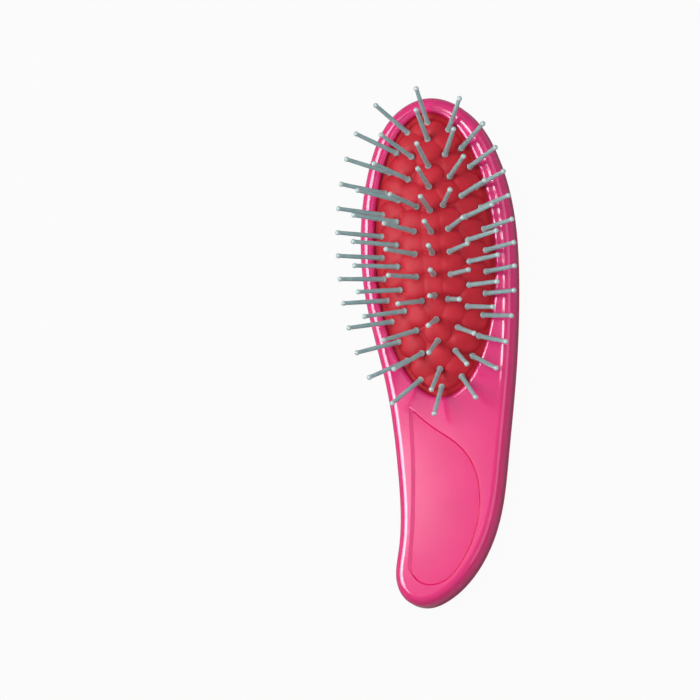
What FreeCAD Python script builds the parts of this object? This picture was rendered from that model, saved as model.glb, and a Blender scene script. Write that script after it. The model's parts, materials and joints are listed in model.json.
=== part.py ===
"""Cushion pin brush with a paisley-shaped body.

A two-shell moulded body holds a domed rubber cushion with rounded knobs. Sixty-nine ball-ended pins stand in
the creases between the knobs, in thirteen rows. The brush lies on its back: +Z is the way the pins point,
+Y runs up the cushion's middle line to the head's tip, and the origin is on the flat of the back, straight
behind the middle of the cushion. All lengths are in millimetres.
"""

import FreeCAD
import Part
import math
import os

from FreeCAD import Placement, Rotation, Vector

UP = Vector(0, 0, 1)

# ---- body -----------------------------------------------------------------------------------------------------
BODY_HEIGHT = 16.0          # back face to front face
SEAM_HEIGHT = 6.0           # where the two shells meet
SHOULDER = (3.2, 4.5)       # width and height of the rounded edge of the front
BACK_ROUND = (5.0, 5.0)     # the same for the back
FRONT_WALL = 2.2
BACK_WALL = 2.2
SIDE_WALL = 2.0
# Points on the body's outline, clockwise from the head's tip. The head is nearly even on both sides of the
# cushion's middle line. The handle draws in along one side only and ends in a rounded corner on the other.
BODY_OUTLINE = (
    (0.0, 55.6), (12.6, 50.6), (22.2, 35.8), (27.5, 12.0), (27.7, -12.0), (24.7, -45.0), (20.7, -72.0),
    (16.2, -94.5), (7.6, -111.3), (-3.9, -121.2), (-10.5, -123.0), (-16.9, -120.5), (-20.1, -114.2),
    (-18.9, -102.6), (-17.6, -76.0), (-20.3, -44.0), (-26.0, -12.0), (-26.1, 12.0), (-21.1, 35.3),
    (-12.3, 50.3),
)

# ---- joint between the shells, and the ribs inside ---------------------------------------------------------------
TONGUE_WALL = 0.8
TONGUE_PLAY = 0.1
TONGUE_RISE = 1.5
RIB_WALL = 1.6
RIB_PLACES = (-66.0, -84.0, -102.0)
RIB_TOP = 12.6
RIB_INSET = 5.8

# ---- thumb rest: a shallow drop-shaped recess in the handle's front ------------------------------------------
REST_TIP = (-11.8, -53.0)
REST_CURVED_SIDE = (
    (-2.2, -61.7), (5.1, -67.5), (10.4, -76.5), (11.6, -87.2), (9.2, -98.9), (3.7, -109.1), (-3.8, -115.6),
    (-11.3, -115.1),
)
REST_CORNER = (-15.2, -109.7)
REST_STRAIGHT_SIDE = ((-13.2, -92.9), (-11.9, -72.0))
REST_DEPTH = 1.0            # along the curved side
REST_SHALLOW_DEPTH = 0.35   # along the straight side, where the recess fades out

# ---- cushion --------------------------------------------------------------------------------------------------
OPENING = (21.3, 50.2)      # half width and half length of the oval opening
OPENING_LIP = 1.5           # rounding of the opening's lip
COLLAR_WALL = 1.8           # wall that hangs down round the opening
COLLAR_FOOT = 9.6           # its lower edge, which presses on the cushion's flange
CUSHION_SIDES = 26
DOME = (23.6, 55.4)         # half width and half length of the half ellipsoid that the crown follows
DOME_BASE = 8.0             # height of the ellipsoid's middle
DOME_RISE = 12.4
DOME_STEPS = (0.892, 0.8, 0.64, 0.4, 0.15)   # rings of the dome, as shares of the ellipsoid
SKIN = 2.0
FLANGE = (22.7, 52.0)
FLANGE_THICK = 1.6

# Knobs: how far off the middle line, and how far along it, for one quarter of the cushion.
KNOBS = (
    (0.0, 3.7), (0.0, 11.2), (0.0, 19.0), (0.0, 27.7), (0.0, 36.6),
    (6.4, 3.8), (6.6, 11.5), (6.5, 21.3),
    (14.5, 0.0), (14.5, 7.6), (14.2, 15.8), (13.4, 24.2),
    (9.6, 31.6), (6.6, 40.3), (3.0, 45.6),
)
KNOB_SIDES = 6
KNOB_PROFILE = ((4.5, -0.8), (3.4, 0.95), (1.6, 1.5))   # radius, and height above the dome

# ---- tray that closes the air chamber --------------------------------------------------------------------------
TRAY = (22.7, 52.0)
TRAY_THICK = 1.6
TRAY_WELL = (18.0, 47.6)
TRAY_WELL_DEPTH = 2.6
TRAY_SIDES = 22
STAND = (21.7, 51.0)        # wall of the back shell that holds the tray up
VENT_RADIUS = 2.0

# ---- pins ------------------------------------------------------------------------------------------------------
PIN_LENGTH = 20.4           # from the rubber to the end of the ball
PIN_SIDES = 5
HEAD_RADIUS = 1.5
HEAD_TOP = -2.7             # heights along the pin, from the rubber's surface
HEAD_THICK = 0.8
SHANK_RADIUS = 0.92
COLLAR_LOW = -0.1
COLLAR_RADIUS = 1.2
COLLAR_TOP = 1.1
SHAFT_FOOT_RADIUS = 0.92
SHAFT_END_RADIUS = 0.6
BALL_RADIUS = 0.92
HOLE_PLAY = 0.2             # between a pin's shank and the rubber

# Rows from the middle of the cushion to its end. Each gives the place along the middle line of the pin on it,
# of the outermost pair, and, with their distance off the line, of the inner and the middle pair.
ROWS = (
    {"centre": 0.0, "outer": 0.0, "inner": (6.1, 0.0)},
    {"centre": 7.4, "outer": 7.5, "inner": (6.0, 8.0), "middle": (12.6, 3.8)},
    {"centre": 15.0, "outer": 15.1, "inner": (4.6, 16.6), "middle": (12.1, 12.0)},
    {"centre": 23.4, "outer": 22.6, "inner": (7.3, 26.6), "middle": (11.0, 19.5)},
    {"centre": 30.8, "outer": 29.8, "inner": (5.9, 34.6)},
    {"centre": 40.4, "outer": 36.6},
    {"centre": 46.4, "outer": 43.4},
)
OUTER_RING = (18.1, 47.2)   # the outermost pins stand on this oval
# The pins fan outward. Each lean is in radians: a part that is the same for all, then shares of the distance x
# off the middle line, or y along it, of its cube, and of its product with the square of the other distance.
SIDE_LEAN = (-0.036, 0.07, -9e-5, -2.8e-6)
END_LEAN = (0.009, 0.0081, 2.1e-6, -9e-6)
END_SAG = -2e-5             # the pins near the foot lean a little more than those at the tip
MOST_LEAN = 0.78
SET_LEAN = 0.16             # the crown's pins have settled to one side by this much
SET_MIDDLE = (2.0, -5.0)
SET_REACH = (9.0, 17.0)


# ---- outlines made of tangent arcs -------------------------------------------------------------------------------
def arc_through(start, heading, end):
    """Arc from start to end that leaves along heading, as (centre, start, turn in radians)."""
    chord = end - start
    side = Vector(-heading.y, heading.x, 0)
    radius = chord.dot(chord) / (2 * side.dot(chord))
    turn = 2 * math.atan2(side.dot(chord), heading.dot(chord))
    return (start + side * radius, start, turn)


def tangent_arcs(points, headings):
    """Closed chain of tangent arcs, two from each point to the next."""
    arcs = []
    for i, start in enumerate(points):
        j = (i + 1) % len(points)
        end = points[j]
        chord = end - start
        both = headings[i] + headings[j]
        bend = 2 * (1 - headings[i].dot(headings[j]))
        along = chord.dot(both)
        reach = (-along + math.sqrt(along * along + bend * chord.dot(chord))) / bend
        middle = (start + end + (headings[i] - headings[j]) * reach) * 0.5
        arcs.append(arc_through(start, headings[i], middle))
        back = arc_through(end, headings[j] * -1, middle)
        arcs.append((back[0], middle, -back[2]))
    return arcs


def body_arcs():
    """The body's outline, clockwise."""
    points = [Vector(x, y, 0) for x, y in BODY_OUTLINE]
    curve = Part.BSplineCurve()
    curve.interpolate(Points=points, PeriodicFlag=True)
    headings = [curve.tangent(curve.parameter(point))[0] for point in points]
    return tangent_arcs(points, headings)


def oval_arcs(half_sizes):
    """An oval with its long side along Y, clockwise."""
    points = []
    headings = []
    for i in range(8):
        angle = -math.pi / 4 * i
        points.append(Vector(half_sizes[0] * math.cos(angle), half_sizes[1] * math.sin(angle), 0))
        heading = Vector(half_sizes[0] * math.sin(angle), -half_sizes[1] * math.cos(angle), 0)
        headings.append(heading.normalize())
    return tangent_arcs(points, headings)


def ring_wire(arcs, inset, height):
    """Wire along the arcs, moved inwards and to a height."""
    edges = []
    for centre, start, turn in arcs:
        spoke = start - centre
        radius = spoke.Length + (inset if turn > 0 else -inset)
        first = spoke.normalize() * radius
        corners = [Rotation(UP, math.degrees(turn * share)).multVec(first) for share in (0, 0.5, 1)]
        level = Vector(centre.x, centre.y, height)
        edges.append(Part.Arc(*[level + corner for corner in corners]).toShape())
    return Part.Wire(edges)


def swept(arcs, profile):
    """Solid bounded by a profile carried round the arcs, with flat ends. The profile is a chain of straight
    lines, each from one (inset, height) to the next, and goes upwards."""
    faces = []
    for centre, start, turn in arcs:
        outward = start - centre
        inward = outward.normalize() * (1 if turn > 0 else -1)
        for piece in profile:
            corners = [start + inward * inset + UP * height for inset, height in piece]
            faces.append(Part.makeLine(*corners).revolve(centre, UP, math.degrees(turn)))
    for inset, height in (profile[0][0], profile[-1][-1]):
        faces.append(Part.Face(ring_wire(arcs, inset, height)))
    shell = Part.Shell(faces)
    shell.sewShape()
    solid = Part.Solid(shell)
    if solid.Volume < 0:
        solid.reverse()
    return solid


def rounded(width, height, foot, steps):
    """Profile lines up a quarter ellipse, from upright at its foot to level at its top."""
    corners = []
    for i in range(steps + 1):
        angle = i / steps * math.pi / 2
        corners.append((width * (1 - math.cos(angle)), foot + height * math.sin(angle)))
    return straight(*corners)


def straight(*corners):
    """Profile lines from corner to corner."""
    return list(zip(corners, corners[1:]))


# ---- solids with flat faces --------------------------------------------------------------------------------------
def faceted(rings):
    """Closed solid with flat faces through a stack of rings that have the same number of corners."""
    count = len(rings[0])
    faces = [Part.Face(Part.makePolygon(ring + ring[:1])) for ring in (rings[0], rings[-1])]
    for low, high in zip(rings, rings[1:]):
        for i in range(count):
            j = (i + 1) % count
            faces.append(Part.Face(Part.makePolygon([low[i], low[j], high[j], high[i], low[i]])))
    shell = Part.Shell(faces)
    shell.sewShape()
    solid = Part.Solid(shell)
    if solid.Volume < 0:
        solid.reverse()
    return solid


def oval_ring(half_sizes, height, sides):
    """Corners of a many-sided oval."""
    corners = []
    for i in range(sides):
        angle = 2 * math.pi * (i + 0.5) / sides
        corners.append(Vector(half_sizes[0] * math.cos(angle), half_sizes[1] * math.sin(angle), height))
    return corners


def round_ring(radius, height, sides):
    """Corners of a regular polygon round the Z axis."""
    return oval_ring((radius, radius), height, sides)


def shrunk(half_sizes, share):
    """Half sizes of an oval of the same shape that is smaller."""
    return (half_sizes[0] * share, half_sizes[1] * share)


def resized(half_sizes, change):
    """Half sizes of an oval that is larger all round."""
    return (half_sizes[0] + change, half_sizes[1] + change)


# ---- where things stand on the cushion ---------------------------------------------------------------------------
def dome_point(x, y):
    """Point of the crown, at the level of the creases."""
    rest = 1 - (x / DOME[0]) ** 2 - (y / DOME[1]) ** 2
    return Vector(x, y, DOME_BASE + DOME_RISE * math.sqrt(rest))


def dome_normal(x, y):
    """Direction straight out of the crown."""
    level = dome_point(x, y).z - DOME_BASE
    return Vector(x / DOME[0] ** 2, y / DOME[1] ** 2, level / DOME_RISE ** 2).normalize()


def mirrored(places):
    """The places of one quarter of the cushion, copied to all four quarters."""
    found = []
    for x, y in places:
        for place in ((x, y), (-x, y), (x, -y), (-x, -y)):
            if place not in found:
                found.append(place)
    return found


def pin_direction(x, y):
    """Unit vector along a pin, from its place on the cushion."""
    far_x = (x - SET_MIDDLE[0]) / SET_REACH[0]
    far_y = (y - SET_MIDDLE[1]) / SET_REACH[1]
    lean_x = SIDE_LEAN[0] + x * (SIDE_LEAN[1] + SIDE_LEAN[2] * x ** 2 + SIDE_LEAN[3] * y ** 2)
    lean_x += SET_LEAN * math.exp(-far_x ** 2 - far_y ** 2)
    lean_y = END_LEAN[0] + y * (END_LEAN[1] + END_LEAN[2] * y ** 2 + END_LEAN[3] * x ** 2) + END_SAG * y ** 2
    full = math.hypot(lean_x, lean_y)
    lean = min(full, MOST_LEAN)
    return Vector(math.sin(lean) * lean_x / full, math.sin(lean) * lean_y / full, math.cos(lean))


def row_places(number):
    """Places of one row's pins. Row 7 is in the middle of the cushion and row 13 is at the head's tip."""
    step = number - 7
    row = ROWS[abs(step)]
    side = -1 if step < 0 else 1
    ring_x = OUTER_RING[0] * math.sqrt(1 - (row["outer"] / OUTER_RING[1]) ** 2)
    pairs = [(ring_x, row["outer"])] + [row[name] for name in ("inner", "middle") if name in row]
    places = [(0.0, side * row["centre"])]
    for x, y in pairs:
        places.append((x, side * y))
        places.append((-x, side * y))
    return places


def stood(shape, x, y, direction):
    """Copy of a shape made on the Z axis, moved to its place on the crown and turned along a direction."""
    copy = shape.copy()
    copy.Placement = Placement(dome_point(x, y), Rotation(UP, direction))
    return copy


# ---- the pieces --------------------------------------------------------------------------------------------------
def thumb_rest():
    """Cutter for the thumb rest: its outline over a floor that slopes down towards the curved side."""
    tip = Vector(*REST_TIP, 0)
    corner = Vector(*REST_CORNER, 0)
    curved = Part.BSplineCurve()
    curved.interpolate([tip] + [Vector(x, y, 0) for x, y in REST_CURVED_SIDE] + [corner])
    straight_side = Part.BSplineCurve()
    straight_side.interpolate([corner] + [Vector(x, y, 0) for x, y in REST_STRAIGHT_SIDE] + [tip])
    outline = Part.Wire([curved.toShape(), straight_side.toShape()])
    left = REST_CORNER[0]
    right = REST_CURVED_SIDE[3][0]
    slope = (REST_DEPTH - REST_SHALLOW_DEPTH) / (right - left)
    margin = 10.0
    top = BODY_HEIGHT + margin
    section = [
        Vector(left - margin, 0, BODY_HEIGHT - REST_SHALLOW_DEPTH + slope * margin),
        Vector(right + margin, 0, BODY_HEIGHT - REST_DEPTH - slope * margin),
        Vector(right + margin, 0, top),
        Vector(left - margin, 0, top),
    ]
    above_floor = Part.Face(Part.makePolygon(section + section[:1]))
    above_floor.translate(Vector(0, REST_TIP[1] + margin, 0))
    above_floor = above_floor.extrude(Vector(0, -90, 0))
    return Part.Face(outline).extrude(Vector(0, 0, top)).common(above_floor)


def front_shell():
    """Upper moulding: rounded front, oval opening with its collar, and the thumb rest."""
    body = body_arcs()
    opening = oval_arcs(OPENING)
    roof = BODY_HEIGHT - FRONT_WALL
    outside = straight((0, SEAM_HEIGHT), (0, BODY_HEIGHT - SHOULDER[1]))
    outside += rounded(*SHOULDER, BODY_HEIGHT - SHOULDER[1], 3)
    inside = straight((SIDE_WALL, SEAM_HEIGHT - 1), (SIDE_WALL, roof))
    collar = straight((-COLLAR_WALL, COLLAR_FOOT), (-COLLAR_WALL, roof + 0.5))
    lip_foot = BODY_HEIGHT - OPENING_LIP
    lip_middle = (-0.3 * OPENING_LIP, lip_foot + 0.7 * OPENING_LIP)
    lip_edge = (-OPENING_LIP, BODY_HEIGHT)
    mouth = straight((0, COLLAR_FOOT - 1), (0, lip_foot), lip_middle, lip_edge, (-OPENING_LIP, BODY_HEIGHT + 1))
    shell = swept(body, outside).cut(swept(body, inside))
    shell = shell.fuse(swept(opening, collar))
    return shell.cut([swept(opening, mouth), thumb_rest()]).Solids[0]


def back_shell():
    """Lower moulding: flat back with a rounded edge, the tongue that locates the front shell, the wall that
    holds the tray up, and cross ribs in the handle."""
    body = body_arcs()
    width, height = BACK_ROUND
    lines = rounded(width, height, 0, 2)
    outside = [((high[0], height - high[1]), (low[0], height - low[1])) for low, high in reversed(lines)]
    outside += straight((0, height), (0, SEAM_HEIGHT))
    tongue_side = SIDE_WALL + TONGUE_PLAY
    hollow_side = tongue_side + TONGUE_WALL
    hollow = straight((hollow_side, BACK_WALL), (hollow_side, SEAM_HEIGHT + 5))
    tongue = straight((tongue_side, BACK_WALL + 2), (tongue_side, SEAM_HEIGHT + TONGUE_RISE))
    stand_top = COLLAR_FOOT - FLANGE_THICK - TRAY_THICK
    stand = faceted([oval_ring(STAND, height, TRAY_SIDES) for height in (BACK_WALL - 0.5, stand_top)])
    inner = resized(STAND, -RIB_WALL)
    inside_stand = faceted([oval_ring(inner, height, TRAY_SIDES) for height in (BACK_WALL, stand_top + 1)])
    shell = swept(body, outside).fuse(swept(body, tongue)).cut(swept(body, hollow))
    ribs = []
    for place in RIB_PLACES:
        slab = Part.makeBox(80, RIB_WALL, RIB_TOP - BACK_WALL + 0.5, Vector(-40, place, BACK_WALL - 0.5))
        ribs.append(slab.common(swept(body, straight((RIB_INSET, 0), (RIB_INSET, BODY_HEIGHT)))))
    return shell.fuse([stand.cut(inside_stand)] + ribs).Solids[0]


def cushion_tray():
    """Dish under the cushion: its rim clamps the flange, and its well closes the air chamber."""
    top = COLLAR_FOOT - FLANGE_THICK
    low = top - TRAY_THICK
    bottom = top - TRAY_WELL_DEPTH - TRAY_THICK
    under = resized(TRAY_WELL, TRAY_THICK)
    dish = [(shrunk(under, 0.93), bottom), (under, low), (TRAY, low), (TRAY, top)]
    well = [(shrunk(TRAY_WELL, 0.93), top - TRAY_WELL_DEPTH), (TRAY_WELL, top), (TRAY_WELL, top + 1)]
    tray = faceted([oval_ring(sizes, height, TRAY_SIDES) for sizes, height in dish])
    tray = tray.cut(faceted([oval_ring(sizes, height, TRAY_SIDES) for sizes, height in well]))
    return tray.cut(Part.makeCylinder(VENT_RADIUS, 20))


def cushion():
    """Rubber cushion: clamped flange, hollow crowned dome with rounded knobs, and a hole for each pin."""
    flange_top = COLLAR_FOOT
    flange_low = COLLAR_FOOT - FLANGE_THICK
    thinner = resized(DOME, -SKIN)
    outer = [(FLANGE, flange_low), (FLANGE, flange_top), (shrunk(DOME, DOME_STEPS[0]), flange_top)]
    inner = [(shrunk(thinner, DOME_STEPS[0]), flange_low - 1)]
    for share in DOME_STEPS:
        level = math.sqrt(1 - share ** 2)
        outer.append((shrunk(DOME, share), DOME_BASE + DOME_RISE * level))
        inner.append((shrunk(thinner, share), DOME_BASE + (DOME_RISE - SKIN) * level))
    skin = faceted([oval_ring(sizes, height, CUSHION_SIDES) for sizes, height in outer])
    knob = faceted([round_ring(radius, height, KNOB_SIDES) for radius, height in KNOB_PROFILE])
    knobs = [stood(knob, x, y, dome_normal(x, y)) for x, y in mirrored(KNOBS)]
    narrow = SHANK_RADIUS + HOLE_PLAY
    wide = COLLAR_RADIUS + HOLE_PLAY
    profile = ((narrow, -6), (narrow, -0.3), (wide, COLLAR_LOW), (wide, 6))
    hole = faceted([round_ring(radius, height, PIN_SIDES) for radius, height in profile])
    cutters = [faceted([oval_ring(sizes, height, CUSHION_SIDES) for sizes, height in inner])]
    for number in range(1, 14):
        for x, y in row_places(number):
            cutters.append(stood(hole, x, y, pin_direction(x, y)))
    return skin.fuse(knobs).cut(cutters).Solids[0]


def pin():
    """One pin on the Z axis: hidden head, shank, collar, tapered shaft and ball."""
    profile = (
        (HEAD_RADIUS, HEAD_TOP - HEAD_THICK), (SHANK_RADIUS, HEAD_TOP), (SHANK_RADIUS, COLLAR_LOW),
        (COLLAR_RADIUS, 0.2), (SHAFT_FOOT_RADIUS, COLLAR_TOP),
        (SHAFT_END_RADIUS, PIN_LENGTH - 1.7), (BALL_RADIUS, PIN_LENGTH - 1.2),
        (BALL_RADIUS, PIN_LENGTH - 0.6), (0.45, PIN_LENGTH),
    )
    return faceted([round_ring(radius, height, PIN_SIDES) for radius, height in profile])


def pin_row(number):
    """The pins of one row."""
    one = pin()
    return Part.makeCompound([stood(one, x, y, pin_direction(x, y)) for x, y in row_places(number)])


if __name__ == "__main__":
    os.makedirs("parts", exist_ok=True)
    front_shell().exportStep("parts/front_shell.step")
    back_shell().exportStep("parts/back_shell.step")
    cushion_tray().exportStep("parts/cushion_tray.step")
    cushion().exportStep("parts/cushion.step")
    for row_number in range(1, 14):
        pin_row(row_number).exportStep("parts/pins_row_%02d.step" % row_number)
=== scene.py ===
"""Looks of the cushion pin brush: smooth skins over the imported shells, the knobbed rubber and the pins."""

import json
import math

import bmesh
import bpy
import numpy as np
from mathutils import Matrix, Vector
from mathutils.geometry import delaunay_2d_cdt

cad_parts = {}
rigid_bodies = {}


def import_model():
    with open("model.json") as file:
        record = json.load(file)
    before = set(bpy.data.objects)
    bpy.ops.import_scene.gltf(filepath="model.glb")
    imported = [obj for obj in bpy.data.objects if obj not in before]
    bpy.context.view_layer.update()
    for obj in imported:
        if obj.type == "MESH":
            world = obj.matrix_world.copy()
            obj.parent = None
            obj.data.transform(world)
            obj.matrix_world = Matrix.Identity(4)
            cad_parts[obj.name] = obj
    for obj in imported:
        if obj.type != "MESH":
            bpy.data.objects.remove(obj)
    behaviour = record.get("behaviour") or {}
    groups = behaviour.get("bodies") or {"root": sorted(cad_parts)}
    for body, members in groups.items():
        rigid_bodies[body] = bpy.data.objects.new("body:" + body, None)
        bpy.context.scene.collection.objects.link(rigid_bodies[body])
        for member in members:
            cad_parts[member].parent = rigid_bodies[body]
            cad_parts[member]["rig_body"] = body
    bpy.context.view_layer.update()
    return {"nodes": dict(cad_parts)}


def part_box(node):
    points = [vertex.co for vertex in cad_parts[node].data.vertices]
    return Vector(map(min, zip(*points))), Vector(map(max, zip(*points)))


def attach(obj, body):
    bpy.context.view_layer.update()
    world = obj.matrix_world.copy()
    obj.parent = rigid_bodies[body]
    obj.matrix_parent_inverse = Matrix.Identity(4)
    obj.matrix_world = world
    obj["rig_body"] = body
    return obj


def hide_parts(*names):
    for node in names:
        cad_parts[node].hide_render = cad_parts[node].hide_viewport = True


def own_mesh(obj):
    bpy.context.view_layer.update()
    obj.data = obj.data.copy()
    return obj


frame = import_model()
MM = 0.001

# ---- the body, in millimetres: outline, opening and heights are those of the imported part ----
BODY_OUTLINE = (
    (0.0, 55.6), (12.6, 50.6), (22.2, 35.8), (27.5, 12.0), (27.7, -12.0), (24.7, -45.0), (20.7, -72.0),
    (16.2, -94.5), (7.6, -111.3), (-3.9, -121.2), (-10.5, -123.0), (-16.9, -120.5), (-20.1, -114.2),
    (-18.9, -102.6), (-17.6, -76.0), (-20.3, -44.0), (-26.0, -12.0), (-26.1, 12.0), (-21.1, 35.3),
    (-12.3, 50.3),
)
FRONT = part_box("front_shell")[1].z / MM
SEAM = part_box("front_shell")[0].z / MM
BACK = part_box("back_shell")[0].z / MM
SHOULDER = (3.2, 4.5)       # width and height of the front's rounded edge
BACK_ROUND = (5.0, 5.0)     # the same for the back
WALL = 2.0
TONGUE = 1.1                # the back's wall is thicker by the tongue that locates the front
FLOOR_INSET = 0.6           # foot of the back's wall, from where its rounded edge ends
FLOOR_WALL = 2.2            # height of the back's inner face
SEAM_GROOVE = 0.22          # depth of the line between the two shells
FRONT_SEAM_EDGE = ((SEAM_GROOVE, 0.0), (0.06, 0.15), (0.0, 0.3))    # (inset, distance from the seam)
BACK_SEAM_EDGE = ((0.0, 0.3), (0.05, 0.12), (SEAM_GROOVE, 0.0))
OPENING = (21.3, 50.2)      # half width and half length
LIP = 1.5                   # radius of the opening's rounded edge
COLLAR_FOOT = 9.6           # height at which the front presses on the cushion's flange

# A shallow step runs round the head inside the crest of its shoulder, and a narrow band round the lip.
RIM_DROP = (0.2, 0.9)       # depth and width of the step
DROP_START = -50.0          # it starts here along the brush and is at full depth DROP_FADE further up
DROP_FADE = 12.0
STEP_GAP = 0.1              # least distance from the step to the lip
STEP_LEAST = 0.02           # least width of the step
BAND_SHARE = 0.4            # the band takes this share of the room between the lip and the step
BAND_WIDTHS = (0.01, 0.15)  # and is between these widths

# ---- the thumb rest ----
REST_TIP = (-11.8, -53.0)
REST_CURVED_SIDE = (
    (-2.2, -61.7), (5.1, -67.5), (10.4, -76.5), (11.6, -87.2), (9.2, -98.9), (3.7, -109.1), (-3.8, -115.6),
    (-11.3, -115.1),
)
REST_WIDEST = REST_CURVED_SIDE[3]
REST_CORNER = (-15.2, -109.7)
REST_STRAIGHT_SIDE = ((-13.2, -92.9), (-11.9, -72.0))
REST_DEPTH = (0.5, 0.85)    # along the straight side and along the curved side
REST_STEP = (0.9, 0.12)     # width of the step down, on the same two sides
STEP_OUTSIDE = 0.06         # share of that width outside the outline
REST_CREASE = 0.35          # the curved side ends in a crease at its foot, this deep
CREASE_WIDTH = 0.45
SIDE_CHANGE = (0.6, 1.2)    # distance from the straight side where its step starts to change, and over which
REST_MARGIN = 3.0           # nothing further than this above the tip belongs to the rest

# ---- how finely curves and faces are divided ----
LENGTH_SAMPLES = 40         # for each given point of a curve
MERGE = 1e-5
OUTLINE_POINTS = 560
OPENING_POINTS = 300
CURVED_POINTS = 260
STRAIGHT_POINTS = 130
SHOULDER_STEPS = 18
BACK_STEPS = 12
STEP_RINGS = 7
LIP_STEPS = 10
REST_LOOPS = (-1.0, -0.75, -0.57, -0.42, -0.27, -0.11, 0.01, 0.3, 0.7)  # distances from the rest's outline
LOOP_ERROR = 0.04           # a point of such a loop is left out when its distance is off by more
LOOPS_MIDDLE = 0.2          # distance at the middle of those loops
FACE_GRID = 2.0             # spacing of the points over the rest of the front face
GRID_ACROSS = (-26, 27)
GRID_ALONG = (-120, 56)
GRID_GAP = 1.0              # least distance from those points to any loop

# ---- the cushion ----
DOME = (23.6, 55.4)         # half width and half length of the crown, if it went down to its base
DOME_BASE = 8.0
DOME_RISE = 12.4
DOME_EDGE = 0.875           # the crown ends at this share of the dome's half sizes
KNOBS = (
    (0.0, 3.7), (0.0, 11.2), (0.0, 19.0), (0.0, 27.7), (0.0, 36.6),
    (6.4, 3.8), (6.6, 11.5), (6.5, 21.3),
    (14.5, 0.0), (14.5, 7.6), (14.2, 15.8), (13.4, 24.2),
    (9.6, 31.6), (6.6, 40.3), (3.0, 45.6),
)
KNOB_REACH = (5.5, 4.5)     # half a knob's width across the brush and along it
KNOB_RISE = 0.95
KNOB_SINK = 0.7             # depth at which a knob of full reach would end
CREASE_DEPTH = 0.25         # and the depth at which the creases stop
KNOB_FADE = 0.04            # knobs die out over this share of the crown at its edge
SOCKET = (0.45, 1.9)        # depth and reach of the dimple round each pin's root
RUBBER_SKIRT = 14.35        # the rubber meets the opening's wall at this height
RUBBER_GAP = 0.05           # between the rubber's side and the wall
CROWN_GRID = (121, 301)     # points across the crown and along it

# ---- the pins: radius at each height above the rubber ----
PIN_LENGTH = 20.4
PIN_PROFILE = (
    (1.5, -3.5), (1.5, -3.2), (0.92, -2.7), (0.92, -0.2), (1.05, 0.0), (1.14, 0.2), (1.15, 0.45),
    (1.08, 0.75), (0.98, 1.05), (0.92, 1.35), (0.88, 1.8), (0.71, 18.3), (0.71, 18.6),
)
COLLAR_BANDS = (3, 7)       # first and last band between those heights that is on the collar, painted pale as a highlight
BALL_RADIUS = 0.92
BALL_STEPS = 11
PIN_SIDES = 20


# ---- curves ----
def spline(points, closed, count):
    """Evenly spaced points on a smooth cubic curve through the given points."""
    places = np.array(points, float)
    if closed:
        places = np.vstack([places, places[:1]])
    knots = np.concatenate([[0], np.cumsum(np.linalg.norm(np.diff(places, axis=0), axis=1))])
    gaps = np.diff(knots)
    size = len(places)
    matrix = np.zeros((size, size))
    right = np.zeros((size, 2))
    slopes = np.diff(places, axis=0) / gaps[:, None]
    for i in range(1, size - 1):
        matrix[i, i - 1:i + 2] = gaps[i - 1], 2 * (gaps[i - 1] + gaps[i]), gaps[i]
        right[i] = 6 * (slopes[i] - slopes[i - 1])
    if closed:
        matrix[0, 0], matrix[0, -1] = 1, -1
        matrix[-1, 0], matrix[-1, 1] = 2 * gaps[0], gaps[0]
        matrix[-1, -1], matrix[-1, -2] = 2 * gaps[-1], gaps[-1]
        right[-1] = 6 * (slopes[0] - slopes[-1])
    else:
        matrix[0, 0] = matrix[-1, -1] = 1
    bends = np.linalg.solve(matrix, right)
    fine = np.linspace(0, knots[-1], LENGTH_SAMPLES * size)
    found = cubic(fine, knots, places, bends)
    lengths = np.concatenate([[0], np.cumsum(np.linalg.norm(np.diff(found, axis=0), axis=1))])
    wanted = np.linspace(0, lengths[-1], count, endpoint=not closed)
    return cubic(np.interp(wanted, lengths, fine), knots, places, bends)


def cubic(at, knots, places, bends):
    """Values of a cubic spline."""
    span = np.clip(np.searchsorted(knots, at, side="right") - 1, 0, len(knots) - 2)
    gap = (knots[span + 1] - knots[span])[:, None]
    before = (at - knots[span])[:, None]
    after = gap - before
    bend = (bends[span] * after ** 3 + bends[span + 1] * before ** 3) / (6 * gap)
    low = (places[span] / gap - bends[span] * gap / 6) * after
    high = (places[span + 1] / gap - bends[span + 1] * gap / 6) * before
    return bend + low + high


def inward(loop):
    """Unit vectors that point into a clockwise closed loop."""
    along = np.roll(loop, -1, axis=0) - np.roll(loop, 1, axis=0)
    along /= np.linalg.norm(along, axis=1)[:, None]
    return np.stack([along[:, 1], -along[:, 0]], axis=1)


def oval(half_sizes, count):
    """Clockwise points on an oval with its long side along Y."""
    angle = -2 * math.pi * np.arange(count) / count
    return np.stack([half_sizes[0] * np.cos(angle), half_sizes[1] * np.sin(angle)], axis=1)


def quarter(width, height, steps):
    """(inset, rise) up a quarter ellipse from upright to level."""
    angles = np.linspace(0, math.pi / 2, steps + 1)
    return [(width * (1 - math.cos(angle)), height * math.sin(angle)) for angle in angles]


def smooth_step(values):
    """0 to 1 with level ends."""
    share = np.clip(values, 0, 1)
    return share * share * (3 - 2 * share)


def inside(point, loop):
    """Whether a point is within a closed loop."""
    x, y = point
    near = loop
    far = np.roll(loop, -1, axis=0)
    crossing = (near[:, 1] > y) != (far[:, 1] > y)
    rise = np.where(crossing, far[:, 1] - near[:, 1], 1)
    at = near[:, 0] + (y - near[:, 1]) * (far[:, 0] - near[:, 0]) / rise
    return bool(np.count_nonzero(crossing & (at > x)) % 2)


def distance_to(points, loop):
    """Distance from each point to a closed loop, negative inside it."""
    far = np.roll(loop, -1, axis=0)
    edge = far - loop
    result = np.empty(len(points))
    for i, point in enumerate(points):
        along = np.clip(((point - loop) * edge).sum(1) / (edge ** 2).sum(1), 0, 1)
        gap = np.linalg.norm(loop + edge * along[:, None] - point, axis=1).min()
        result[i] = -gap if inside(point, loop) else gap
    return result


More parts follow.
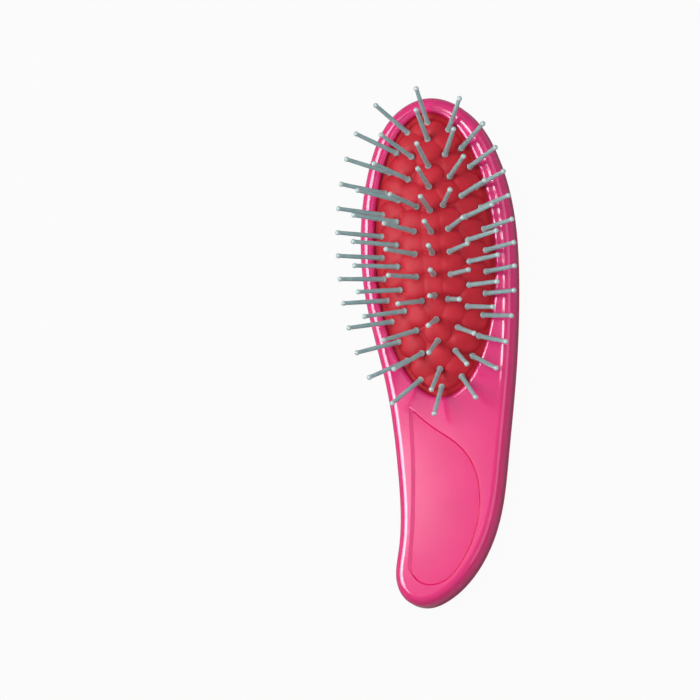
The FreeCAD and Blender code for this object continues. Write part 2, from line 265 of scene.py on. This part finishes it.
# ---- meshes ----
def make(name, points, faces, body, slot, replaced):
    """Mesh object from points in millimetres, riding on a body of the frame."""
    mesh = bpy.data.meshes.new(name)
    mesh.from_pydata((np.asarray(points) * MM).tolist(), [], [list(map(int, face)) for face in faces])
    mesh.validate()
    edit = bmesh.new()
    edit.from_mesh(mesh)
    bmesh.ops.recalc_face_normals(edit, faces=edit.faces)
    edit.to_mesh(mesh)
    edit.free()
    mesh.polygons.foreach_set("use_smooth", [True] * len(mesh.polygons))
    mesh.update()
    piece = bpy.data.objects.new(name, mesh)
    bpy.context.scene.collection.objects.link(piece)
    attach(piece, body)
    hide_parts(*replaced)
    return piece


def rings(loops):
    """Points and faces of a band through loops that have the same number of points."""
    count = len(loops[0])
    faces = []
    for level in range(len(loops) - 1):
        for i in range(count):
            j = (i + 1) % count
            low = level * count
            faces.append((low + i, low + j, low + count + j, low + count + i))
    return np.concatenate(loops), faces


def raised(loop, height):
    """A flat loop at a height."""
    return np.column_stack([loop, np.full(len(loop), float(height))])


def filled(outer, inner_loops=(), free=()):
    """Triangles over the area inside the outer loop and outside the inner loops, through the free points."""
    points = [Vector(point) for point in outer]
    edges = [(i, (i + 1) % len(outer)) for i in range(len(outer))]
    for loop in inner_loops:
        start = len(points)
        points += [Vector(point) for point in loop]
        edges += [(start + i, start + (i + 1) % len(loop)) for i in range(len(loop))]
    points += [Vector(point) for point in free]
    found, _, faces, _, _, _ = delaunay_2d_cdt(points, edges, [], 0, MERGE)
    found = np.array([tuple(point) for point in found])
    kept = []
    for face in faces:
        middle = found[list(face)].mean(0)
        if inside(middle, outer) and not any(inside(middle, loop) for loop in inner_loops):
            kept.append(face)
    return found, kept


def weld(parts):
    """One mesh from several lists of points and faces, with points at the same place joined."""
    points = []
    index = {}
    faces = []
    for part_points, part_faces in parts:
        numbers = []
        for point in part_points:
            key = tuple(np.round(point, 4))
            if key not in index:
                index[key] = len(points)
                points.append(point)
            numbers.append(index[key])
        for face in part_faces:
            face = [numbers[i] for i in face]
            if len(set(face)) > 2:
                faces.append(face)
    return np.array(points), faces


# ---- the body ----
outline = spline(BODY_OUTLINE, True, OUTLINE_POINTS)
outline_in = inward(outline)
rest_outline = np.concatenate([
    spline((REST_TIP,) + REST_CURVED_SIDE + (REST_CORNER,), False, CURVED_POINTS)[:-1],
    spline((REST_CORNER,) + REST_STRAIGHT_SIDE + (REST_TIP,), False, STRAIGHT_POINTS)[:-1],
])
crest = outline + outline_in * SHOULDER[0]
opening = oval(OPENING, OPENING_POINTS)
opening_in = inward(opening)
lip_line = opening - opening_in * LIP
step_width = np.clip(distance_to(crest, lip_line) - STEP_GAP, STEP_LEAST, RIM_DROP[1])
step_foot = crest + outline_in * step_width[:, None]
step_depth = smooth_step((outline[:, 1] - DROP_START) / DROP_FADE) * RIM_DROP[0] * step_width / RIM_DROP[1]
lip_band = np.clip(-BAND_SHARE * distance_to(lip_line, step_foot), *BAND_WIDTHS)
lip_edge = lip_line - inward(lip_line) * lip_band[:, None]


def rim_drop(points):
    """How far the head's front has stepped down inside the crest of its rim."""
    nearest = [np.argmin(((outline - point) ** 2).sum(1)) for point in points]
    return step_depth[nearest]


def front_height(points):
    """Height of the front face inside the step round the head: level but for the thumb rest."""
    points = np.asarray(points, float)
    depth = rim_drop(points)
    close = points[:, 1] < REST_TIP[1] + REST_MARGIN
    x, y = points[close].T
    away = distance_to(points[close], rest_outline)
    left = REST_CORNER[0]
    right = REST_WIDEST[0]
    full = REST_DEPTH[0] + (REST_DEPTH[1] - REST_DEPTH[0]) * np.clip((x - left) / (right - left), 0, 1)
    straight = np.array((REST_CORNER,) + REST_STRAIGHT_SIDE + (REST_TIP,)).T
    curved = smooth_step((x - np.interp(y, straight[1], straight[0]) - SIDE_CHANGE[0]) / SIDE_CHANGE[1])
    width = REST_STEP[0] + (REST_STEP[1] - REST_STEP[0]) * curved
    down = smooth_step((STEP_OUTSIDE * width - away) / width)
    crease = np.clip(1 + (away + REST_STEP[1]) / CREASE_WIDTH, 0, 1)
    depth[close] = down * (full + REST_CREASE * curved * crease)
    return FRONT - depth


def front_face():
    """The front face between the step and the opening's lip."""
    free = []
    rest_in = inward(rest_outline)
    for offset in REST_LOOPS:
        moved = rest_outline - rest_in * offset
        away = distance_to(moved, rest_outline)
        free.append(moved[np.abs(away - offset) < LOOP_ERROR])
    spots = np.meshgrid(np.arange(*GRID_ACROSS, FACE_GRID), np.arange(*GRID_ALONG, FACE_GRID))
    grid = np.stack(spots, axis=-1).reshape(-1, 2)
    grid = grid[np.array([inside(point, step_foot) and not inside(point, lip_edge) for point in grid])]
    clear = np.minimum(-distance_to(grid, step_foot), distance_to(grid, lip_edge))
    clear = np.minimum(clear, np.abs(np.abs(distance_to(grid, rest_outline)) - LOOPS_MIDDLE))
    free.append(grid[clear > GRID_GAP])
    return filled(step_foot, [lip_edge], np.concatenate(free))


def front_skin():
    """Upper moulding, closed: rim underside, side, shoulder, step, front face, lip, collar and roof."""
    shoulder_foot = FRONT - SHOULDER[1]
    profile = [(WALL, COLLAR_FOOT), (WALL, SEAM)]
    profile += [(inset, SEAM + rise) for inset, rise in FRONT_SEAM_EDGE]
    profile += [(inset, shoulder_foot + rise) for inset, rise in quarter(*SHOULDER, SHOULDER_STEPS)]
    levels = [raised(outline + outline_in * inset, height) for inset, height in profile]
    for share in np.linspace(0, 1, STEP_RINGS + 1)[1:]:
        level = crest + outline_in * step_width[:, None] * share
        levels.append(np.column_stack([level, FRONT - step_depth * smooth_step(share)]))
    side = rings(levels)
    face_points, face_faces = front_face()
    top = (np.column_stack([face_points, front_height(face_points)]), face_faces)
    lip = [(-LIP * (1 - math.sin(angle)), FRONT - LIP * (1 - math.cos(angle)))
           for angle in np.linspace(0, math.pi / 2, LIP_STEPS + 1)]
    lip.append((0, COLLAR_FOOT))
    drop = rim_drop(lip_edge)
    walls = [np.column_stack([lip_edge, front_height(lip_edge)])]
    for inset, height in lip:
        walls.append(np.column_stack([opening + opening_in * inset, height + drop * inset / LIP]))
    mouth = rings(walls)
    roof_points, roof_faces = filled(outline + outline_in * WALL, [opening])
    roof = (raised(roof_points, COLLAR_FOOT), [face[::-1] for face in roof_faces])
    return weld([side, top, mouth, roof])


def back_skin():
    """Lower moulding, closed: a tub with a flat back."""
    width, height = BACK_ROUND
    profile = [(inset, BACK + height - rise) for inset, rise in quarter(width, height, BACK_STEPS)][::-1]
    profile += [(inset, SEAM - drop) for inset, drop in BACK_SEAM_EDGE]
    profile += [(WALL + TONGUE, SEAM), (width + FLOOR_INSET, FLOOR_WALL)]
    side = rings([raised(outline + outline_in * inset, level) for inset, level in profile])
    under_points, under_faces = filled(outline + outline_in * width)
    floor_points, floor_faces = filled(outline + outline_in * (width + FLOOR_INSET))
    under = (raised(under_points, BACK), [face[::-1] for face in under_faces])
    floor = (raised(floor_points, FLOOR_WALL), floor_faces)
    return weld([side, under, floor])


# ---- the cushion ----
def dome_height(x, y):
    """Height of the crown before its knobs and creases."""
    return DOME_BASE + DOME_RISE * np.sqrt(np.maximum(1 - (x / DOME[0]) ** 2 - (y / DOME[1]) ** 2, 0))


def disc_grid(across, along):
    """Evenly spread points over a unit disc, as a square grid bent into it."""
    u, v = np.meshgrid(np.linspace(-1, 1, across), np.linspace(-1, 1, along))
    wide = np.abs(u) >= np.abs(v)
    safe_u = np.where(u == 0, 1, u)
    safe_v = np.where(v == 0, 1, v)
    angle = np.where(wide, math.pi / 4 * v / safe_u, math.pi / 2 - math.pi / 4 * u / safe_v)
    radius = np.where(wide, u, v)
    return radius * np.cos(angle), radius * np.sin(angle)


def knob_places():
    """Middles of all the knobs."""
    found = set()
    for x, y in KNOBS:
        found |= {(x, y), (-x, y), (x, -y), (-x, -y)}
    return sorted(found)


def knob_rise(points):
    """How far each knob stands out of the dome there, and -KNOB_SINK where none reaches."""
    rise = np.full(len(points), -KNOB_SINK)
    for x, y in knob_places():
        middle = np.array([x, y, dome_height(x, y)])
        level = (middle[2] - DOME_BASE) / DOME_RISE ** 2
        out = np.array([x / DOME[0] ** 2, y / DOME[1] ** 2, level])
        out /= np.linalg.norm(out)
        gap = points - middle
        flat = gap - np.outer(gap @ out, out)
        near = np.hypot(np.hypot(flat[:, 0], flat[:, 2]) / KNOB_REACH[0], flat[:, 1] / KNOB_REACH[1])
        height = (KNOB_RISE + KNOB_SINK) * np.sqrt(np.maximum(1 - near ** 3, 0)) - KNOB_SINK
        rise = np.maximum(rise, height)
    return rise


def cushion_skin(pin_roots):
    """The rubber: knobbed crown with a dimple at each pin, side down to the flange, and flat underside."""
    across, along = CROWN_GRID
    a, b = disc_grid(across, along)
    x = a * DOME[0] * DOME_EDGE
    y = b * DOME[1] * DOME_EDGE
    z = dome_height(x, y)
    points = np.stack([x, y, z], axis=-1).reshape(-1, 3)
    normals = np.stack([x / DOME[0] ** 2, y / DOME[1] ** 2, (z - DOME_BASE) / DOME_RISE ** 2], axis=-1)
    normals = normals.reshape(-1, 3)
    normals /= np.linalg.norm(normals, axis=1)[:, None]
    rise = np.maximum(knob_rise(points), -CREASE_DEPTH)
    edge = 1 - np.hypot(a, b).reshape(-1)
    rise = np.where(rise > 0, rise * smooth_step(edge / KNOB_FADE), rise)
    for root in pin_roots:
        rise -= SOCKET[0] * np.exp(-((points[:, :2] - root[:2]) ** 2).sum(1) / SOCKET[1] ** 2)
    crown = points + normals * rise[:, None]
    faces = []
    for row in range(along - 1):
        for column in range(across - 1):
            i = row * across + column
            faces.append((i, i + 1, i + across + 1, i + across))
    rim = list(range(across))
    rim += [across * row + across - 1 for row in range(1, along)]
    rim += [across * (along - 1) + column for column in range(across - 2, -1, -1)]
    rim += [across * row for row in range(along - 2, 0, -1)]
    angle = np.arctan2(crown[rim, 1] / OPENING[1], crown[rim, 0] / OPENING[0])
    half_width, half_length = OPENING[0] - RUBBER_GAP, OPENING[1] - RUBBER_GAP
    side = np.stack([half_width * np.cos(angle), half_length * np.sin(angle)], axis=1)
    walls = [raised(side, RUBBER_SKIRT), raised(side, COLLAR_FOOT + RUBBER_GAP)]
    start = len(crown)
    count = len(rim)
    levels = [np.array(rim)] + [start + count * level + np.arange(count) for level in range(len(walls))]
    for above, below in zip(levels, levels[1:]):
        for i in range(count):
            j = (i + 1) % count
            faces.append((above[j], above[i], below[i], below[j]))
    faces.append(list(levels[-1]))
    return np.concatenate([crown] + walls), faces


# ---- the pins ----
def solids_of(node):
    """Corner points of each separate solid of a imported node, in millimetres."""
    mesh = frame["nodes"][node].data
    places = np.array([vertex.co for vertex in mesh.vertices]) / MM
    keys = {}
    number = [keys.setdefault(tuple(np.round(place, 3)), len(keys)) for place in places]
    parent = list(range(len(keys)))

    def root(i):
        while parent[i] != i:
            parent[i] = parent[parent[i]]
            i = parent[i]
        return i

    for polygon in mesh.polygons:
        corners = [number[i] for i in polygon.vertices]
        for corner in corners[1:]:
            parent[root(corner)] = root(corners[0])
    groups = {}
    for place, i in keys.items():
        groups.setdefault(root(i), []).append(place)
    return [np.array(group) for group in groups.values()]


def pin_axes(node):
    """(root on the rubber, direction) of each pin in a packed row."""
    found = []
    for corners in solids_of(node):
        middle = corners.mean(0)
        direction = np.linalg.svd(corners - middle)[2][0]
        direction *= np.sign(direction[2])
        top = middle + direction * ((corners - middle) @ direction).max()
        found.append((top - direction * PIN_LENGTH, direction))
    return sorted(found, key=lambda pin: pin[0][0])


def pin_mesh():
    """One pin on the Z axis, and which of its faces, on the collar and the ball, get a paler colour as a
    painted highlight.
    """
    profile = list(PIN_PROFILE)
    ball = PIN_LENGTH - BALL_RADIUS
    first = math.asin(PIN_PROFILE[-1][0] / BALL_RADIUS)
    for angle in np.linspace(first, math.pi, BALL_STEPS + 1)[1:-1]:
        profile.append((BALL_RADIUS * math.sin(angle), ball - BALL_RADIUS * math.cos(angle)))
    angle = 2 * math.pi * np.arange(PIN_SIDES) / PIN_SIDES
    circle = np.stack([np.cos(angle), np.sin(angle)], axis=1)
    points, faces = rings([raised(radius * circle, height) for radius, height in profile])
    faces.append(list(range(PIN_SIDES))[::-1])
    last = len(points) - PIN_SIDES
    points = np.concatenate([points, [[0, 0, PIN_LENGTH]]])
    for i in range(PIN_SIDES):
        faces.append((last + i, last + (i + 1) % PIN_SIDES, len(points) - 1))
    band = np.arange(len(faces)) // PIN_SIDES
    # the collar and ball faces take the paler colour: a painted highlight
    pale = (band >= COLLAR_BANDS[0]) & (band <= COLLAR_BANDS[1]) | (band >= len(PIN_PROFILE) - 1)
    return points, faces, pale.astype(int)


# ---- materials ----
class Shader:
    """A material's node tree, built a few nodes at a time."""

    def __init__(self, name):
        self.material = bpy.data.materials.new(name)
        self.material.use_nodes = True
        self.tree = self.material.node_tree
        self.surface = self.tree.nodes["Principled BSDF"]

    def node(self, kind, **values):
        """A node with inputs or settings of those names."""
        found = self.tree.nodes.new(kind)
        for name, value in values.items():
            if name in found.inputs:
                found.inputs[name].default_value = value
            else:
                setattr(found, name, value)
        return found

    def link(self, start, end):
        """A link from an output to an input."""
        self.tree.links.new(start, end)

    def noise(self, scale, detail=3.0):
        """Noise in the piece's own space, 0 to 1."""
        place = self.node("ShaderNodeTexCoord")
        noise = self.node("ShaderNodeTexNoise", Scale=scale, Detail=detail)
        self.link(place.outputs["Object"], noise.inputs["Vector"])
        return noise.outputs["Fac"]

    def ramp(self, value, low, high, colours):
        """One colour up to the low value, the other from the high value."""
        ramp = self.node("ShaderNodeValToRGB")
        ramp.color_ramp.elements[0].position = low
        ramp.color_ramp.elements[1].position = high
        for element, colour in zip(ramp.color_ramp.elements, colours):
            element.color = (*colour, 1)
        self.link(value, ramp.inputs["Fac"])
        return ramp.outputs["Color"]

    def spread(self, value, low, high):
        """A value of 0 to 1 spread from low to high."""
        spread = self.node("ShaderNodeMapRange")
        spread.inputs["To Min"].default_value = low
        spread.inputs["To Max"].default_value = high
        self.link(value, spread.inputs["Value"])
        return spread.outputs["Result"]

    def bump(self, value, strength, distance):
        """The value as fine grain on the surface."""
        bump = self.node("ShaderNodeBump", Strength=strength, Distance=distance)
        self.link(value, bump.inputs["Height"])
        self.link(bump.outputs["Normal"], self.surface.inputs["Normal"])


def moulded(name, colours, patches, gloss, grain, **inputs):
    """Material of a moulded piece.

    colours: its two colours.
    patches: scale of their noise, and the range over which one turns into the other.
    gloss: scale of the noise, lowest and highest roughness.
    grain: scale, strength and distance of the bump.
    inputs: values for other inputs of the surface, with underscores for spaces.
    """
    shader = Shader(name)
    surface = shader.surface.inputs
    shader.link(shader.ramp(shader.noise(patches[0]), *patches[1:], colours), surface["Base Color"])
    shader.link(shader.spread(shader.noise(gloss[0]), *gloss[1:]), surface["Roughness"])
    shader.bump(shader.noise(grain[0], 2.0), *grain[1:])
    for title, value in inputs.items():
        surface[title.replace("_", " ")].default_value = value
    return shader.material


def floor_material():
    """Pale floor that the camera sees nearly white, and that still takes the brush's shadow."""
    shader = Shader("studio_floor")
    shader.surface.inputs["Base Color"].default_value = FLOOR_GREY
    shader.surface.inputs["Roughness"].default_value = FLOOR_ROUGHNESS
    path = shader.node("ShaderNodeLightPath")
    share = shader.node("ShaderNodeMath", operation="MULTIPLY")
    share.inputs[1].default_value = FLOOR_GLOW
    shader.link(path.outputs["Is Camera Ray"], share.inputs[0])
    glow = shader.node("ShaderNodeEmission", Strength=1.0)
    mix = shader.node("ShaderNodeMixShader")
    shader.link(share.outputs[0], mix.inputs["Fac"])
    shader.link(shader.surface.outputs[0], mix.inputs[1])
    shader.link(glow.outputs[0], mix.inputs[2])
    shader.link(mix.outputs[0], shader.tree.nodes["Material Output"].inputs["Surface"])
    return shader.material


plastic = moulded(
    "body_plastic", colours=((0.80, 0.019, 0.195), (0.85, 0.025, 0.215)), patches=(60, 0.3, 0.7),
    gloss=(900, 0.12, 0.18), grain=(1400, 0.05, 0.0002), Specular_IOR_Level=0.8, Subsurface_Weight=0.12,
    Subsurface_Radius=(1.0, 0.25, 0.35), Subsurface_Scale=0.002)
rubber = moulded(
    "cushion_rubber", colours=((0.54, 0.020, 0.036), (0.60, 0.027, 0.045)), patches=(160, 0.3, 0.7),
    gloss=(700, 0.42, 0.58), grain=(2600, 0.12, 0.0002), Specular_IOR_Level=0.12)
# The pins' collars and ball ends get a paler colour, a painted highlight for the light they catch.
pin_plastic, pin_end_highlight = [
    moulded(name, colours, patches=(300, 0.35, 0.65), gloss=(900, 0.28, 0.42), grain=(3000, 0.08, 0.0001))
    for name, colours in (
        ("pin_plastic", ((0.28, 0.45, 0.46), (0.35, 0.53, 0.54))),
        ("pin_end_painted_highlight", ((0.42, 0.56, 0.56), (0.50, 0.63, 0.63))),
    )
]
tray_plastic = moulded(
    "tray_plastic", colours=((0.60, 0.60, 0.57), (0.68, 0.68, 0.65)), patches=(90, 0.3, 0.7),
    gloss=(500, 0.45, 0.6), grain=(1500, 0.1, 0.0002))

# ---- build ----
SHARP = math.radians(35)    # edges of the front that bend more than this aren't smoothed

front = make("front_skin", *front_skin(), "handle", "body", ["front_shell"])
front.data.set_sharp_from_angle(angle=SHARP)
front.data.materials.append(plastic)
back = make("back_skin", *back_skin(), "handle", "body", ["back_shell"])
back.data.materials.append(plastic)

pin_nodes = sorted(name for name in frame["nodes"] if name.startswith("pins_row_"))
pins = {node: pin_axes(node) for node in pin_nodes}
roots = [root for node in pin_nodes for root, _ in pins[node]]
cushion = make("cushion_skin", *cushion_skin(roots), "handle", "cushion", ["cushion"])
cushion.data.materials.append(rubber)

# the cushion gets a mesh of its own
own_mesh(cushion)

one_pin, pin_faces, pale = pin_mesh()
for node in pin_nodes:
    points = []
    faces = []
    for root, direction in pins[node]:
        turn = Vector((0, 0, 1)).rotation_difference(Vector(direction)).to_matrix()
        faces += [[i + len(points) * len(one_pin) for i in face] for face in pin_faces]
        points.append(one_pin @ np.array(turn).T + root)
    body = frame["nodes"][node]["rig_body"]
    row = make(node.replace("pins", "pin"), np.concatenate(points), faces, body, "pins", [node])
    row.data.materials.append(pin_plastic)
    row.data.materials.append(pin_end_highlight)
    # collar and ball faces get the paler colour, a painted highlight
    row.data.polygons.foreach_set("material_index", np.tile(pale, len(points)))

frame["nodes"]["cushion_tray"].data.materials.clear()
frame["nodes"]["cushion_tray"].data.materials.append(tray_plastic)

# ---- floor and camera, in metres ----
FLOOR_SIZE = 30
FLOOR_LEVEL = -0.0004       # just clear of the flat back
FLOOR_GREY = (0.3, 0.3, 0.3, 1)
FLOOR_ROUGHNESS = 0.9
FLOOR_GLOW = 0.95           # how much of the floor the camera sees as plain white
VIEW_SIDE = math.radians(9.6)       # the camera stands off the brush's face towards +X
VIEW_FOOT = math.radians(6.9)       # and towards the handle
VIEW_ROLL = math.radians(3.06)      # and the brush leans to the left in the picture
VIEW_WIDTH = 245.184 * MM           # width of the picture at VIEW_LEVEL
VIEW_CENTRE = (-30.84 * MM, -32.64 * MM)    # picture's centre from the cushion's middle, to the right and up
VIEW_LEVEL = 8 * MM
VIEW_DISTANCE = 6.0
SENSOR_WIDTH = 36

bpy.ops.mesh.primitive_plane_add(size=FLOOR_SIZE, location=(0, 0, FLOOR_LEVEL))
floor = bpy.context.object
floor.name = "studio_floor"
floor.data.materials.append(floor_material())

tilt_side = Matrix(((math.cos(VIEW_SIDE), 0, -math.sin(VIEW_SIDE)), (0, 1, 0),
                    (math.sin(VIEW_SIDE), 0, math.cos(VIEW_SIDE))))
tilt_foot = Matrix(((1, 0, 0), (0, math.cos(VIEW_FOOT), math.sin(VIEW_FOOT)),
                    (0, -math.sin(VIEW_FOOT), math.cos(VIEW_FOOT))))
roll = Matrix(((math.cos(VIEW_ROLL), -math.sin(VIEW_ROLL), 0), (math.sin(VIEW_ROLL), math.cos(VIEW_ROLL), 0),
               (0, 0, 1)))
axes = roll @ tilt_foot @ tilt_side
right, up, toward = axes
target = Vector((0, 0, VIEW_LEVEL)) + right * VIEW_CENTRE[0] + up * VIEW_CENTRE[1]

camera = bpy.data.objects.new("camera", bpy.data.cameras.new("camera"))
bpy.context.scene.collection.objects.link(camera)
camera.data.sensor_width = SENSOR_WIDTH
camera.data.lens = SENSOR_WIDTH * VIEW_DISTANCE / VIEW_WIDTH
camera.matrix_world = Matrix.Translation(target + toward * VIEW_DISTANCE) @ axes.transposed().to_4x4()
bpy.context.scene.camera = camera


# ---- light ----
SKY_LOW = 0.12              # the studio is dim near the horizon, which darkens the brush's edges
SKY_HIGH = 0.42
SKY_HEIGHT = 0.35           # height of a ray's direction from which it is fully bright


def lamp(name, place, aim, size, watts, diffuse=True):
    """Rectangular studio lamp that faces a point. One without diffuse light only shows as a reflection."""
    light = bpy.data.lights.new(name, "AREA")
    light.shape = "RECTANGLE"
    light.size, light.size_y = size
    light.energy = watts
    found = bpy.data.objects.new(name, light)
    bpy.context.scene.collection.objects.link(found)
    found.location = place
    found.rotation_mode = "QUATERNION"
    found.rotation_quaternion = (Vector(aim) - Vector(place)).to_track_quat("-Z", "Y")
    found.visible_diffuse = diffuse


def studio_sky():
    """White sky that brightens from the horizon up."""
    world = bpy.data.worlds.new("studio")
    bpy.context.scene.world = world
    world.use_nodes = True
    sky = world.node_tree
    place = sky.nodes.new("ShaderNodeTexCoord")
    split = sky.nodes.new("ShaderNodeSeparateXYZ")
    level = sky.nodes.new("ShaderNodeMapRange")
    level.inputs["From Min"].default_value = 0.0
    level.inputs["From Max"].default_value = SKY_HEIGHT
    level.inputs["To Min"].default_value = SKY_LOW
    level.inputs["To Max"].default_value = SKY_HIGH
    sky.nodes["Background"].inputs["Color"].default_value = (1, 1, 1, 1)
    sky.links.new(place.outputs["Generated"], split.inputs[0])
    sky.links.new(split.outputs["Z"], level.inputs["Value"])
    sky.links.new(level.outputs["Result"], sky.nodes["Background"].inputs["Strength"])


lamp("key", place=(-0.33, 0.05, 0.50), aim=(0, -0.02, 0), size=(0.4, 0.4), watts=2.65)
lamp("fill", place=(0.45, -0.03, 0.25), aim=(0, -0.03, 0.01), size=(0.8, 0.3), watts=0.8)
lamp("strip", place=(-0.329, 0.03, 0.327), aim=(0, 0, 0.02), size=(0.44, 0.36), watts=2.9, diffuse=False)
lamp("sheen", place=(-0.175, -0.042, 0.37), aim=(-0.165, -0.042, 0), size=(0.045, 0.24), watts=0.125,
     diffuse=False)
studio_sky()
bpy.context.scene.view_settings.view_transform = "Standard"
